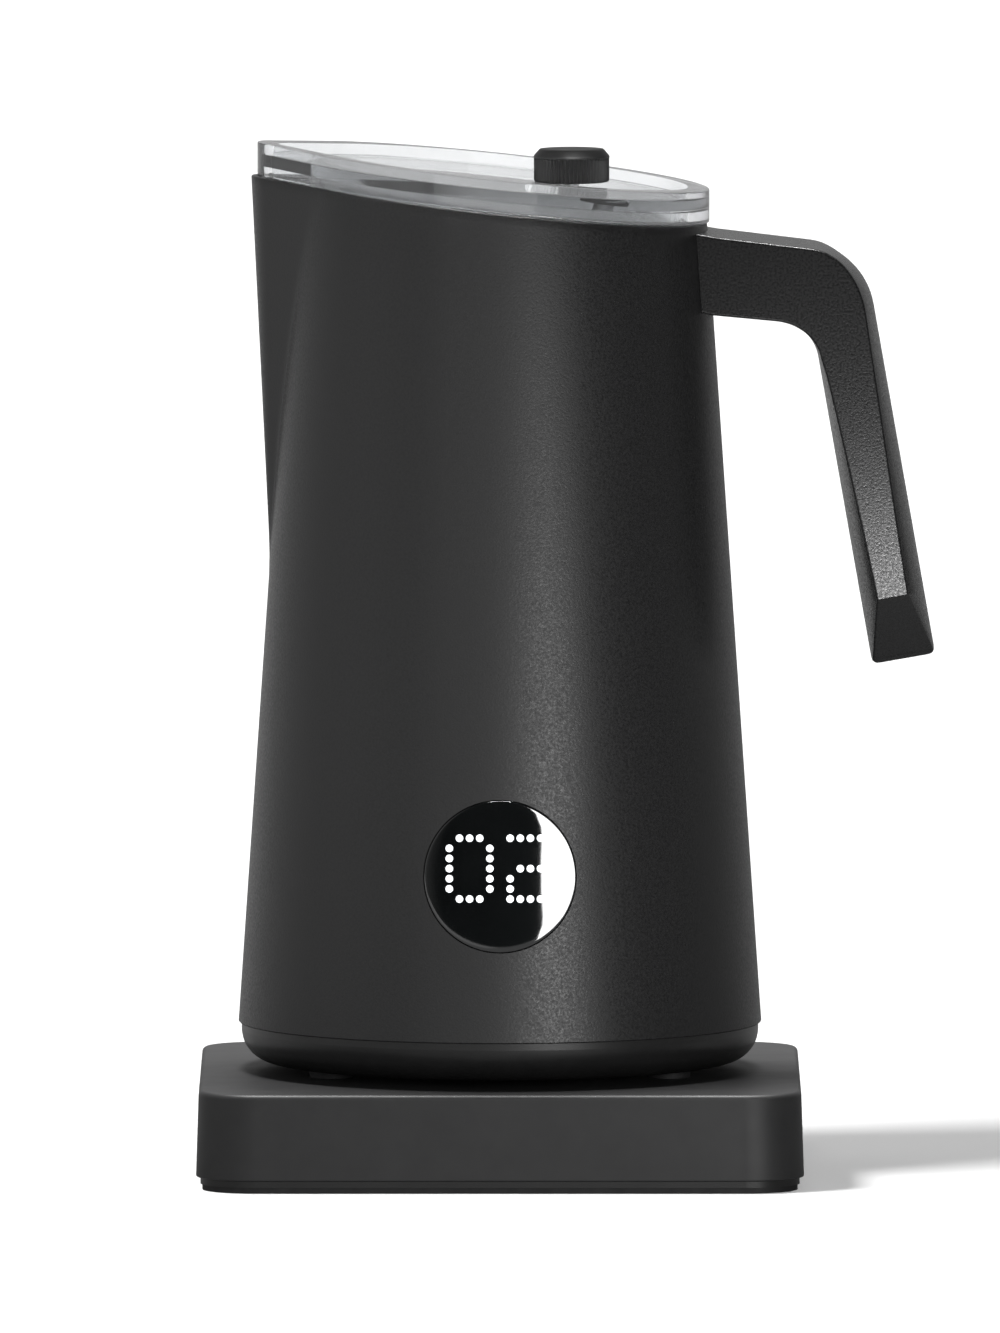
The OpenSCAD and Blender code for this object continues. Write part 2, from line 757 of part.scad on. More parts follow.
base_cover();
base_plate();
base_pad();
base_screws();
base_connector();
base_contacts();
power_board();
power_board_parts();
power_wires();
cord_gland();
jug_shell();
bottom_cap();
cap_screws();
jug_feet();
jug_connector();
connector_pins();
control_board();
control_board_parts();
inner_frame();
motor_can();
motor_stator();
motor_bearings();
motor_screws();
bowl();
bowl_pin();
bowl_gasket();
heater_ring();
temperature_sensor();
thermal_fuse();
display_housing();
display_gasket();
display_board();
display_leds();
button_switch();
display_cable();
handle();
handle_screws();
display_lens();
display_dots();
button_frame();
motor_rotor();
drive_disc();
drive_magnets();
whisk_hub();
whisk_bush();
whisk_magnets();
whisk_coil();
lid();
lid_seal();
lid_knob();
knob_washer();
knob_screw();
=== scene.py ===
import json
import math
import bpy
import bmesh
import numpy as np
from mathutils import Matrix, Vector


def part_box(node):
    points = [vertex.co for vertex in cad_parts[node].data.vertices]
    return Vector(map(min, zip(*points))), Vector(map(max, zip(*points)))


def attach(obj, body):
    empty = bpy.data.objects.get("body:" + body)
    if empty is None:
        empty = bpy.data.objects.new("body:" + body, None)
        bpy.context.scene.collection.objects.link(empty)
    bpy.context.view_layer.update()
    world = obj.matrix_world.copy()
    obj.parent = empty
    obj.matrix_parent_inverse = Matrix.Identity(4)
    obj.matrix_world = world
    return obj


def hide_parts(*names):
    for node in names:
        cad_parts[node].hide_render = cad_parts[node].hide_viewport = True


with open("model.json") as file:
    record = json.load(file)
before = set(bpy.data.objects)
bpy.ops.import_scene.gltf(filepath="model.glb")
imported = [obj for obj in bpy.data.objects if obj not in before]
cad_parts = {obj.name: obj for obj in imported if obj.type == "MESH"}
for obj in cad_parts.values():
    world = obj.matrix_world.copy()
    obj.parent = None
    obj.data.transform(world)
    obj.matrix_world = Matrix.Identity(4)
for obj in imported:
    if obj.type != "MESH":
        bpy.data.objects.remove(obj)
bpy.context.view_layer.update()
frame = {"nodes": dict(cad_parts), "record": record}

MM = 0.001
scene = bpy.context.scene
sin, cos, pi, radians = math.sin, math.cos, math.pi, math.radians

# ------------------------------------------------------------------ sizes, in millimetres
base_lo, base_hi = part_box("base_cover")
BASE_W = (base_hi[0] - base_lo[0]) / MM
BASE_Z0 = base_lo[2] / MM
BASE_H = base_hi[2] / MM
# The base is narrower at its top by BASE_DRAFT less TOP_EXTRA
BASE_DRAFT = 1.1
TOP_EXTRA = 0.06
BASE_CORNER = 12.0

FOOT_Z = 30.4                       # height of the jug shell's lower edge
FOOT_R = 54.5                       # its radius there
TAPER = 0.0683                      # radius lost for each mm of height
TAU = math.atan(TAPER)
MOUTH_Z = 201.8                     # height of the mouth's plane on the axis
TILT = math.tan(radians(6))         # how far that plane falls for each mm towards the handle
WALL = 1.6                          # thickness of the jug shell
MOUTH_EDGE = 0.45                   # radius of its rounded mouth edges

LOFT_Z = 212.0                      # height at which the spout's outlines are full
LOFT_GAP = 0.15                     # how far they stay inside the round wall there
CREASE = 0.35                       # softness of the line where the spout leaves the wall
SPOUT_FOOT_X, SPOUT_FOOT_Z = 47.7, 124.0
SPOUT_REACH, SPOUT_NOSE = 52.0, 12.0

BOWL_R = 39.4                       # inner radius of the steel bowl
BOWL_T = 0.8                        # its thickness
CHANNEL_FOOT_X, CHANNEL_FOOT_Z = 39.8, 143.0
CHANNEL_REACH, CHANNEL_NOSE = 49.8, 9.8

DISPLAY_Z = 65.0
DISPLAY_R = 15.6
KNOB_X = 14.9
KNOB_R = 7.9
knob_lo, knob_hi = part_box("lid_knob")
KNOB_Z = knob_lo[2] / MM
KNOB_H = (knob_hi[2] - knob_lo[2]) / MM

# In metres: points nearer than SAME_POINT become one, edges shorter than TINY_EDGE go
SAME_POINT = 2e-6
TINY_EDGE = 1e-7


def cone_r(z):
    return FOOT_R - TAPER * (z - FOOT_Z)


# ------------------------------------------------------------------ mesh helpers
def sharpen(me, angle):
    me.shade_smooth()
    me.set_sharp_from_angle(angle=radians(angle))


def bake(ob):
    """Applies the object's modifiers to its mesh."""
    name = ob.data.name
    bpy.context.view_layer.update()
    done = bpy.data.meshes.new_from_object(ob.evaluated_get(bpy.context.evaluated_depsgraph_get()))
    ob.modifiers.clear()
    old = ob.data
    ob.data = done
    bpy.data.meshes.remove(old)
    done.name = name


def even_normals(ob):
    """Normals weighted by area, so that flat faces stay flat beside their rounded edges."""
    mod = ob.modifiers.new("normals", "WEIGHTED_NORMAL")
    mod.keep_sharp = True
    mod.weight = 60
    bake(ob)


def make_mesh(name, verts, faces, merge):
    """A mesh from points in millimetres, with its normals turned outwards."""
    me = bpy.data.meshes.new(name)
    me.from_pydata([(v[0] * MM, v[1] * MM, v[2] * MM) for v in verts], [], faces)
    bm = bmesh.new()
    bm.from_mesh(me)
    if merge:
        bmesh.ops.remove_doubles(bm, verts=bm.verts, dist=SAME_POINT)
        bmesh.ops.dissolve_degenerate(bm, edges=bm.edges, dist=TINY_EDGE)
    bmesh.ops.recalc_face_normals(bm, faces=bm.faces)
    bm.to_mesh(me)
    bm.free()
    return me


def piece(name, verts, faces, body, angle):
    """A new object that rides on body. Edges sharper than angle, in degrees, are shaded sharp."""
    me = make_mesh(name, verts, faces, merge=True)
    sharpen(me, angle)
    ob = bpy.data.objects.new(name, me)
    scene.collection.objects.link(ob)
    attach(ob, body)
    return ob


def loft_data(rings, wrap=False, cap0=None, cap1=None):
    """Quads between rings of equal length. A cap is "ngon" or a point for a fan."""
    n, m = len(rings[0]), len(rings)
    verts = [tuple(p) for r in rings for p in r]
    faces = []
    for i in range(m if wrap else m - 1):
        a, b = i * n, ((i + 1) % m) * n
        for j in range(n):
            k = (j + 1) % n
            faces.append((a + j, a + k, b + k, b + j))
    for cap, start, flip in ((cap0, 0, True), (cap1, (m - 1) * n, False)):
        if cap is None:
            continue
        if isinstance(cap, str):
            loop = list(range(start, start + n))
            faces.append(tuple(reversed(loop)) if flip else tuple(loop))
        else:
            verts.append(tuple(cap))
            c = len(verts) - 1
            for j in range(n):
                k = (j + 1) % n
                faces.append((start + k, start + j, c) if flip else (start + j, start + k, c))
    return verts, faces


def cut_away(ob, rings, angle):
    """Takes the closed loft through rings, in millimetres, out of ob."""
    verts, faces = loft_data(rings, cap0="ngon", cap1="ngon")
    me = make_mesh("cutter", verts, faces, merge=False)
    cutter = bpy.data.objects.new("cutter", me)
    scene.collection.objects.link(cutter)
    mod = ob.modifiers.new("hole", "BOOLEAN")
    mod.operation = "DIFFERENCE"
    mod.object = cutter
    mod.solver = "EXACT"
    bake(ob)
    bpy.data.objects.remove(cutter, do_unlink=True)
    bpy.data.meshes.remove(me)
    sharpen(ob.data, angle)


# ------------------------------------------------------------------ materials
NOISE_LOW, NOISE_HIGH = 0.3, 0.7    # the part of a noise's range that is used
SPARKLE_LIGHT = 0.02                # what full sparkle adds to a grain's lightest colour


def map_range(tree, value, start, end, out_start, out_end):
    node = tree.nodes.new("ShaderNodeMapRange")
    limits = {"From Min": start, "From Max": end, "To Min": out_start, "To Max": out_end}
    for socket, number in limits.items():
        node.inputs[socket].default_value = number
    tree.links.new(value, node.inputs["Value"])
    return node


def material(name, color, rough, metallic=0.0, bump=0.0, bump_size=0.0005, grain=0.0, grain_size=0.0005,
             rough_var=0.0, rough_size=0.01, sparkle=0.0, stretch=None, coat=0.0, transmission=0.0, ior=1.5,
             emission=None, strength=0.0):
    """A Principled material whose colour, roughness and relief vary by noise in the object's own metres."""
    m = bpy.data.materials.new(name)
    m.use_nodes = True
    nt = m.node_tree
    nt.nodes.clear()
    out = nt.nodes.new("ShaderNodeOutputMaterial")
    p = nt.nodes.new("ShaderNodeBsdfPrincipled")
    nt.links.new(p.outputs["BSDF"], out.inputs["Surface"])
    p.inputs["Base Color"].default_value = (*color, 1)
    p.inputs["Roughness"].default_value = rough
    p.inputs["Metallic"].default_value = metallic
    p.inputs["IOR"].default_value = ior
    p.inputs["Transmission Weight"].default_value = transmission
    p.inputs["Coat Weight"].default_value = coat
    p.inputs["Coat Roughness"].default_value = 0.1
    if emission:
        p.inputs["Emission Color"].default_value = (*emission, 1)
        p.inputs["Emission Strength"].default_value = strength
    coord = nt.nodes.new("ShaderNodeTexCoord").outputs["Object"]
    if stretch:
        mapping = nt.nodes.new("ShaderNodeMapping")
        mapping.inputs["Scale"].default_value = stretch
        nt.links.new(coord, mapping.inputs["Vector"])
        coord = mapping.outputs["Vector"]

    def noise(size, detail=2.0, fineness=0.55):
        n = nt.nodes.new("ShaderNodeTexNoise")
        n.inputs["Scale"].default_value = 1.0 / size
        n.inputs["Detail"].default_value = detail
        n.inputs["Roughness"].default_value = fineness
        nt.links.new(coord, n.inputs["Vector"])
        return n.outputs["Fac"]

    def spread(fac, low, high):
        return map_range(nt, fac, NOISE_LOW, NOISE_HIGH, low, high).outputs["Result"]

    if grain:
        mix = nt.nodes.new("ShaderNodeMix")
        mix.data_type = "RGBA"
        light = [min(1, c * (1 + grain) + SPARKLE_LIGHT * sparkle) for c in color]
        mix.inputs["A"].default_value = (*[c * (1 - grain) for c in color], 1)
        mix.inputs["B"].default_value = (*light, 1)
        nt.links.new(spread(noise(grain_size, detail=3.0), 0.0, 1.0), mix.inputs["Factor"])
        nt.links.new(mix.outputs["Result"], p.inputs["Base Color"])
    if rough_var:
        nt.links.new(spread(noise(rough_size), rough - rough_var, rough + rough_var), p.inputs["Roughness"])
    if bump:
        b = nt.nodes.new("ShaderNodeBump")
        b.inputs["Strength"].default_value = 1.0
        b.inputs["Distance"].default_value = bump
        nt.links.new(noise(bump_size, fineness=0.6), b.inputs["Height"])
        nt.links.new(b.outputs["Normal"], p.inputs["Normal"])
    return m


# Painted and moulded black parts
coat_paint = material("powder_coat", (0.018, 0.018, 0.0184), 0.41, bump=0.000033, bump_size=0.0005,
                      grain=0.20, grain_size=0.0005, rough_var=0.10, rough_size=0.0005, sparkle=0.2)
handle_paint = material("handle_coat", (0.018, 0.018, 0.0184), 0.30, bump=0.00005, bump_size=0.0005,
                        grain=0.13, grain_size=0.0005, rough_var=0.12, rough_size=0.0005, sparkle=0.3)
base_plastic = material("base_plastic", (0.024, 0.024, 0.0245), 0.52, bump=0.000006, bump_size=0.0003,
                        grain=0.08, grain_size=0.004, rough_var=0.03, rough_size=0.012)
black_plastic = material("black_plastic", (0.010, 0.010, 0.010), 0.40, bump=0.00001, bump_size=0.0004,
                         grain=0.12, grain_size=0.003, rough_var=0.04, rough_size=0.008)
cap_plastic = material("cap_plastic", (0.014, 0.014, 0.014), 0.36, bump=0.000006, bump_size=0.0004,
                       grain=0.1, grain_size=0.003, rough_var=0.03, rough_size=0.01)
knob_black = material("knob_black", (0.024, 0.024, 0.024), 0.42, bump=0.000006, bump_size=0.0003,
                      grain=0.1, grain_size=0.002, rough_var=0.04, rough_size=0.003)

# Rubber, metal and the parts inside
rubber = material("rubber", (0.012, 0.012, 0.0125), 0.7, bump=0.00003, bump_size=0.0006,
                  grain=0.2, grain_size=0.002, rough_var=0.05, rough_size=0.003)
silicone = material("silicone", (0.45, 0.45, 0.46), 0.4, bump=0.00001, bump_size=0.0006,
                    grain=0.05, grain_size=0.003, rough_var=0.05, rough_size=0.004)
steel = material("steel", (0.55, 0.55, 0.56), 0.32, metallic=1.0, bump=0.000004, bump_size=0.0006,
                 grain=0.06, grain_size=0.003, rough_var=0.06, rough_size=0.002)
bowl_steel = material("bowl_steel", (0.60, 0.60, 0.61), 0.26, metallic=1.0, bump=0.000006, bump_size=0.0006,
                      grain=0.05, grain_size=0.001, rough_var=0.08, rough_size=0.001,
                      stretch=(0.15, 0.15, 4.0))
wire_steel = material("wire_steel", (0.68, 0.68, 0.69), 0.14, metallic=1.0, bump=0.000002, bump_size=0.0004,
                      grain=0.04, grain_size=0.001, rough_var=0.03, rough_size=0.001)
magnet = material("magnet", (0.50, 0.50, 0.52), 0.2, metallic=1.0,
                  grain=0.05, grain_size=0.002, rough_var=0.04, rough_size=0.002)
brass = material("brass", (0.70, 0.50, 0.20), 0.25, metallic=1.0,
                 grain=0.08, grain_size=0.002, rough_var=0.06, rough_size=0.002)
copper = material("copper", (0.60, 0.25, 0.10), 0.35, metallic=0.9, bump=0.00008, bump_size=0.0006,
                  grain=0.2, grain_size=0.0006, rough_var=0.06, rough_size=0.001, stretch=(1, 1, 0.2))
board = material("board", (0.02, 0.12, 0.05), 0.35, bump=0.00001, bump_size=0.002,
                 grain=0.25, grain_size=0.003, rough_var=0.06, rough_size=0.002, coat=0.2)
board_parts = material("board_parts", (0.05, 0.05, 0.055), 0.45, bump=0.00001, bump_size=0.0006,
                       grain=0.15, grain_size=0.002, rough_var=0.05, rough_size=0.002)
wire_skin = material("wire_skin", (0.50, 0.50, 0.47), 0.4, bump=0.000006, bump_size=0.0006,
                     grain=0.08, grain_size=0.003, rough_var=0.05, rough_size=0.002)
heater = material("heater", (0.48, 0.45, 0.42), 0.45, metallic=0.8, bump=0.00002, bump_size=0.0008,
                  grain=0.15, grain_size=0.002, rough_var=0.08, rough_size=0.002)
ceramic = material("ceramic", (0.75, 0.72, 0.66), 0.3, bump=0.000006, bump_size=0.0006,
                   grain=0.06, grain_size=0.002, rough_var=0.05, rough_size=0.002)
bush_plastic = material("bush_plastic", (0.75, 0.75, 0.72), 0.35, bump=0.000006, bump_size=0.0006,
                        grain=0.05, grain_size=0.002, rough_var=0.04, rough_size=0.002)

# The display and the clear lid
display_glass = material("display_glass", (0.0060, 0.0068, 0.0070), 0.05, ior=2.1,
                         grain=0.15, grain_size=0.01, rough_var=0.01, rough_size=0.02)
dot_light = material("dot_light", (0.9, 0.9, 0.9), 0.5, emission=(0.93, 0.97, 1.0), strength=1.15,
                     grain=0.02, grain_size=0.001)
clear_lid = material("clear_lid", (0.93, 0.94, 0.95), 0.03, transmission=0.92, ior=1.49,
                     grain=0.02, grain_size=0.02, rough_var=0.01, rough_size=0.03)


def add_tint(mat, color, density):
    """Absorption inside a clear material."""
    nodes = mat.node_tree.nodes
    tint = nodes.new("ShaderNodeVolumeAbsorption")
    tint.inputs["Color"].default_value = (*color, 1)
    tint.inputs["Density"].default_value = density
    mat.node_tree.links.new(tint.outputs["Volume"], nodes["Material Output"].inputs["Volume"])


add_tint(clear_lid, (0.50, 0.51, 0.52), 44)

BY_SLOT = {
    "powder_coat": coat_paint, "base_plastic": base_plastic, "black_plastic": black_plastic,
    "handle_plastic": handle_paint, "rubber": rubber, "silicone": silicone, "steel": steel,
    "bowl_steel": bowl_steel, "spring_wire": wire_steel, "magnet": magnet, "brass": brass, "copper": copper,
    "board": board, "board_parts": board_parts, "wire": wire_skin, "heater": heater, "ceramic": ceramic,
    "display_glass": display_glass, "dots": dot_light, "bush": bush_plastic, "clear_lid": clear_lid,
    "knob_black": knob_black,
}


def paint(ob, mat):
    ob.data.materials.clear()
    ob.data.materials.append(mat)


for sub in frame["record"]["subparts"]:
    paint(frame["nodes"][sub["node"]], BY_SLOT[sub["material_slot"]])
paint(frame["nodes"]["bottom_cap"], cap_plastic)


def finish_piece(ob, mat, slot, *nodes):
    """Paints a new piece and lets it stand for CAD nodes, which it hides. slot is not used."""
    paint(ob, mat)
    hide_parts(*nodes)


# ------------------------------------------------------------------ outlines of jug shell and bowl
PSI = np.linspace(0, 2 * pi, 1440, endpoint=False)
NX, NY = np.cos(PSI), np.sin(PSI)


def spout_far(theta, z, foot_x, foot_z, top_r, reach, nose, inset):
    """Distance from the axis to the far side of the spout's wedge, or 0 where it isn't met.

    At each height the wedge is the hull of two circles: both start as a point at -foot_x and foot_z,
    and grow towards a circle of top_r on the axis and one of nose at the spout's end."""
    t = (z - foot_z) / (LOFT_Z - foot_z)
    if t <= 0:
        return 0.0
    c1, r1 = -foot_x * (1 - t), top_r * t - inset
    c2, r2 = -foot_x * (1 - t) - (reach - nose) * t, nose * t - inset
    if r2 <= 0.02:
        return 0.0
    h = np.maximum(c1 * NX + r1, c2 * NX + r2)
    d = NX * cos(theta) + NY * sin(theta)
    up = np.min(h[d > 1e-6] / d[d > 1e-6])
    low = np.max(h[d < -1e-6] / d[d < -1e-6])
    return float(up) if up >= low and up > 0 else 0.0


def soft_max(a, b, k):
    """The larger of a and b, with a soft change from one to the other."""
    if b <= 0 or b < a - 6 * k:
        return a
    return 0.5 * (a + b + math.sqrt((a - b) ** 2 + k * k))


def shell_radius(theta, z, inset):
    """inset 0 is the jug shell's outside, WALL its inside."""
    top_r = cone_r(LOFT_Z) - LOFT_GAP
    far = spout_far(theta, z, SPOUT_FOOT_X, SPOUT_FOOT_Z, top_r, SPOUT_REACH, SPOUT_NOSE, inset)
    return soft_max(cone_r(z) - inset, far, CREASE)


def bowl_radius(theta, z, inset):
    """inset 0 is the bowl's outside, BOWL_T its inside."""
    top_r = BOWL_R + BOWL_T - LOFT_GAP
    far = spout_far(theta, z, CHANNEL_FOOT_X, CHANNEL_FOOT_Z, top_r, CHANNEL_REACH, CHANNEL_NOSE, inset)
    return soft_max(BOWL_R + BOWL_T - inset, far, CREASE)


def spout_angles(fine=0.75, coarse=2.0, half=75):
    """Bearings round the jug, closer together within half degrees of the spout."""
    a = list(np.arange(0, 180 - half, coarse)) + list(np.arange(180 - half, 180 + half, fine))
    a += list(np.arange(180 + half, 360, coarse))
    return [radians(v) for v in a]


def mouth_ring(angles, radius, inset, dz):
    """The wall's outline on a plane dz above the tilted mouth."""
    ring = []
    for th in angles:
        r = 42.0                    # a first guess, since radius and height depend on each other
        for _ in range(8):
            z = MOUTH_Z + dz - TILT * r * cos(th)
            r = radius(th, z, inset)
        ring.append((r * cos(th), r * sin(th), MOUTH_Z + dz - TILT * r * cos(th)))
    return ring


def edge_rings(angles, radius, inset, side, edge, top, turns):
    """Mouth rings round an edge of radius edge: side is 1 on the outside and -1 on the inside."""
    rings = []
    for turn in turns:
        a = radians(turn)
        shift = side * edge * (1 - cos(a))
        rings.append(mouth_ring(angles, radius, inset + shift, top - edge * (1 - sin(a))))
    return rings


def wall_rings(angles, radius, inset, z0, top_ring, levels):
    """Rings from z0 up to, but not with, top_ring."""
    rings = []
    for i in range(levels):
        s = i / levels
        ring = []
        for j, th in enumerate(angles):
            z = z0 + s * (top_ring[j][2] - z0)
            r = radius(th, z, inset)
            ring.append((r * cos(th), r * sin(th), z))
        rings.append(ring)
    return rings


def flat_ring(angles, r, z):
    return [(r * cos(a), r * sin(a), z) for a in angles]


def display_point(u, v, h):
    """A point in the button's own frame: u to the right, v up the wall, h outwards."""
    r0 = cone_r(DISPLAY_Z)
    return (u, -r0 + v * sin(TAU) - h * cos(TAU), DISPLAY_Z + v * cos(TAU) + h * sin(TAU))


def wall_height(u, v, proud):
    """h at which (u, v) lies on the jug's cone, moved out by proud."""
    rough_r = 52.0                  # near the cone's radius there, for a first guess
    h = -u * u / (2 * rough_r)
    for _ in range(12):
        x, y, z = display_point(u, v, h)
        h -= math.hypot(x, y) - cone_r(z) - proud
    return h


# ------------------------------------------------------------------ jug shell
CHAMFER = 0.25                      # at the shell's lower edge
HOLE_GAP = 0.3                      # between the display button and its opening
HOLE_FROM, HOLE_TO = -8, 6          # the cutter's ends, inwards and outwards of the wall
HOLE_SEGMENTS = 160
AROUND_HOLE = 0.030                 # metres from the opening's centre within which normals are the cone's
ON_WALL = 0.00005                   # metres: a point this near the cone is on it
FACES_OUT = 0.9                     # cosine between a face on the cone and the cone's normal


def cone_normals(me):
    """Gives the wall round the display opening the cone's own normals, so the cut leaves no mark."""
    old = [tuple(c.vector) for c in me.corner_normals]
    centre = Vector(display_point(0, 0, 0)) * MM
    normals = []
    for poly in me.polygons:
        for li in poly.loop_indices:
            co = me.vertices[me.loops[li].vertex_index].co
            r = math.hypot(co.x, co.y)
            n = Vector((co.x / r, co.y / r, TAPER)).normalized()
            near = (co - centre).length < AROUND_HOLE and abs(r - cone_r(co.z / MM) * MM) < ON_WALL
            normals.append(tuple(n) if near and poly.normal.dot(n) > FACES_OUT else old[li])
    me.normals_split_custom_set(normals)


def make_shell():
    angles = spout_angles()
    top = mouth_ring(angles, shell_radius, 0.0, -MOUTH_EDGE)
    rings = [flat_ring(angles, cone_r(FOOT_Z) - CHAMFER, FOOT_Z)]
    rings += wall_rings(angles, shell_radius, 0.0, FOOT_Z + CHAMFER, top, 100)
    rings.append(top)
    rings += edge_rings(angles, shell_radius, 0.0, 1, MOUTH_EDGE, 0.0, (30, 60, 90))
    rings += edge_rings(angles, shell_radius, WALL, -1, MOUTH_EDGE, 0.0, (90, 60, 30, 0))
    rings += list(reversed(wall_rings(angles, shell_radius, WALL, FOOT_Z, rings[-1], 24)))
    verts, faces = loft_data(rings, wrap=True)
    ob = piece("jug_body", verts, faces, "jug", angle=40)

    # The round opening that the display button sits in
    r = DISPLAY_R + HOLE_GAP
    hole = []
    for h in (HOLE_FROM, HOLE_TO):
        turn = [2 * pi * i / HOLE_SEGMENTS for i in range(HOLE_SEGMENTS)]
        hole.append([display_point(r * cos(a), r * sin(a), h) for a in turn])
    cut_away(ob, hole, 40)
    cone_normals(ob.data)
    return ob


finish_piece(make_shell(), coat_paint, "powder_coat", "jug_shell")


# ------------------------------------------------------------------ steel bowl
BOWL_Z = 82.5                       # underside of its floor
BOWL_CORNER = 6.0                   # outer radius between floor and wall
FLANGE_UNDER, FLANGE_TOP = -1.6, -0.4   # heights over the mouth's plane
FLANGE_GAP = 0.15                   # between the flange and the jug shell
LIP = 0.7                           # radius of the edge from flange to bowl
ARC_STEPS = 6


def make_bowl():
    angles = spout_angles(1.0, 3.0)
    wall_z = BOWL_Z + BOWL_CORNER + 1.0
    inner_corner = BOWL_CORNER - BOWL_T
    rings = [flat_ring(angles, 8, BOWL_Z), flat_ring(angles, 20, BOWL_Z)]
    for i in range(ARC_STEPS + 1):
        a = radians(-90 + 90 * i / ARC_STEPS)
        r = BOWL_R + BOWL_T - BOWL_CORNER + BOWL_CORNER * cos(a)
        rings.append(flat_ring(angles, r, BOWL_Z + BOWL_CORNER + BOWL_CORNER * sin(a)))
    under = mouth_ring(angles, bowl_radius, 0.0, FLANGE_UNDER)
    rings += wall_rings(angles, bowl_radius, 0.0, wall_z, under, 40) + [under]
    rings.append(mouth_ring(angles, shell_radius, WALL + FLANGE_GAP, FLANGE_UNDER))
    rings.append(mouth_ring(angles, shell_radius, WALL + FLANGE_GAP, FLANGE_TOP))
    rings += edge_rings(angles, bowl_radius, BOWL_T, -1, LIP, FLANGE_TOP, (90, 60, 30, 0))
    rings += list(reversed(wall_rings(angles, bowl_radius, BOWL_T, wall_z, rings[-1], 40)))
    for i in range(ARC_STEPS + 1):
        a = radians(-90 * i / ARC_STEPS)
        r = BOWL_R - inner_corner + inner_corner * cos(a)
        rings.append(flat_ring(angles, r, BOWL_Z + BOWL_CORNER + inner_corner * sin(a)))
    rings += [flat_ring(angles, 20, BOWL_Z + BOWL_T), flat_ring(angles, 8, BOWL_Z + BOWL_T)]
    verts, faces = loft_data(rings, cap0=(0, 0, BOWL_Z), cap1=(0, 0, BOWL_Z + BOWL_T))
    return piece("milk_bowl", verts, faces, "jug", angle=35)


finish_piece(make_bowl(), bowl_steel, "bowl_steel", "bowl")


# ------------------------------------------------------------------ display button
LENS_SEGMENTS = 128
LENS_R = DISPLAY_R + 0.12
LENS_PROUD = 0.45                   # how far the lens stands out of the jug's wall
LENS_EDGE = 0.3                     # radius of its rounded edge
LENS_ROLL = 0.045                   # how far it falls towards that edge
LENS_ROLL_R = 13.4                  # where that fall starts
LENS_SIDE, LENS_BACK = -1.4, -1.75  # heights of the side's lower end and of the back


def make_lens():
    flat_r = LENS_R - LENS_EDGE
    profile = [(r, LENS_PROUD) for r in (3, 6, 9, 12, LENS_ROLL_R)]
    for r in (13.8, 14.2, 14.6, 15.0, flat_r):
        profile.append((r, LENS_PROUD - LENS_ROLL * ((r - LENS_ROLL_R) / (flat_r - LENS_ROLL_R)) ** 2))
    for turn in (18, 36, 54, 72, 90):
        a = radians(turn)
        profile.append((flat_r + LENS_EDGE * sin(a), LENS_PROUD - LENS_ROLL - LENS_EDGE * (1 - cos(a))))
    profile.append((LENS_R, LENS_SIDE))
    profile += [(r, LENS_BACK) for r in (LENS_R - LENS_EDGE, 12, 6)]
    rings = []
    for r, proud in profile:
        ring = []
        for i in range(LENS_SEGMENTS):
            a = 2 * pi * i / LENS_SEGMENTS
            u, v = r * cos(a), r * sin(a)
            ring.append(display_point(u, v, wall_height(u, v, proud)))
        rings.append(ring)
    front = display_point(0, 0, wall_height(0, 0, LENS_PROUD))
    verts, faces = loft_data(rings, cap0=front, cap1=display_point(0, 0, LENS_BACK))
    return piece("button_lens", verts, faces, "display_button", angle=50)


lens = make_lens()
finish_piece(lens, display_glass, "display_glass", "display_lens")


# ------------------------------------------------------------------ handle
def v2(*p):
    return np.array(p, float)


def crossed(a, b):
    return a[0] * b[1] - a[1] * b[0]


def meet(p, d, q, e):
    """Where the line through p along d meets the one through q along e."""
    return p + d * crossed(q - p, e) / crossed(d, e)


def inward(d):
    """Unit vector to the right of d, which is towards the inside of the bend."""
    return v2(d[1], -d[0]) / math.hypot(*d)


# The outline from the side, as points and directions (x, z)
ARM_TOP, ARM_DIR = v2(40, 195.7), v2(1, -0.12)
UNDER, UNDER_DIR = v2(40, 179.2), v2(1, -0.093)
GRIP, GRIP_DIR = v2(78.4, 176.9), v2(0.1765, -1)
GRIP_THICK = 13.5
OUT_R, IN_R = 15.0, 10.0            # radii of the bend
HALF = 14.5                         # half the handle's width
ROOT_X = 39.0                       # where its sides start, inside the jug's wall
ROOT_GAP = 0.06                     # between its root and the outside of that wall
ROOT_STEP = 0.3                     # least distance from the root to the next section
FACET_OUT_Z, FACET_IN_Z = 121.4, 119.0  # where the end's facets start, on the outer and inner side
END_OUT_Z, END_IN_Z = 107.6, 105.3      # where they end
END_HALF = 4.0                      # half the width there
END_ROUND = 1.2                     # radius of the round over the end
# How far the outer and inner faces fall from their middle to their edges
BOW_OUT, BOW_IN = 2.3, 0.7          # after the bend
MORE_OUT, MORE_IN = 1.0, 2.6        # what the grip adds along its length
BOW_FACET = 3.3                     # where the facets start
HANDLE_EDGE = 0.55                  # radius of the long edges
EDGE_TUCK = 0.04                    # part of the fall that is left to the edges
BEND_STEPS, GRIP_STEPS = 16, 12
ACROSS = (0.0, 0.2, 0.4, 0.6, 0.8, 0.93)
QUARTER = (0, 18, 36, 54, 72, 90)


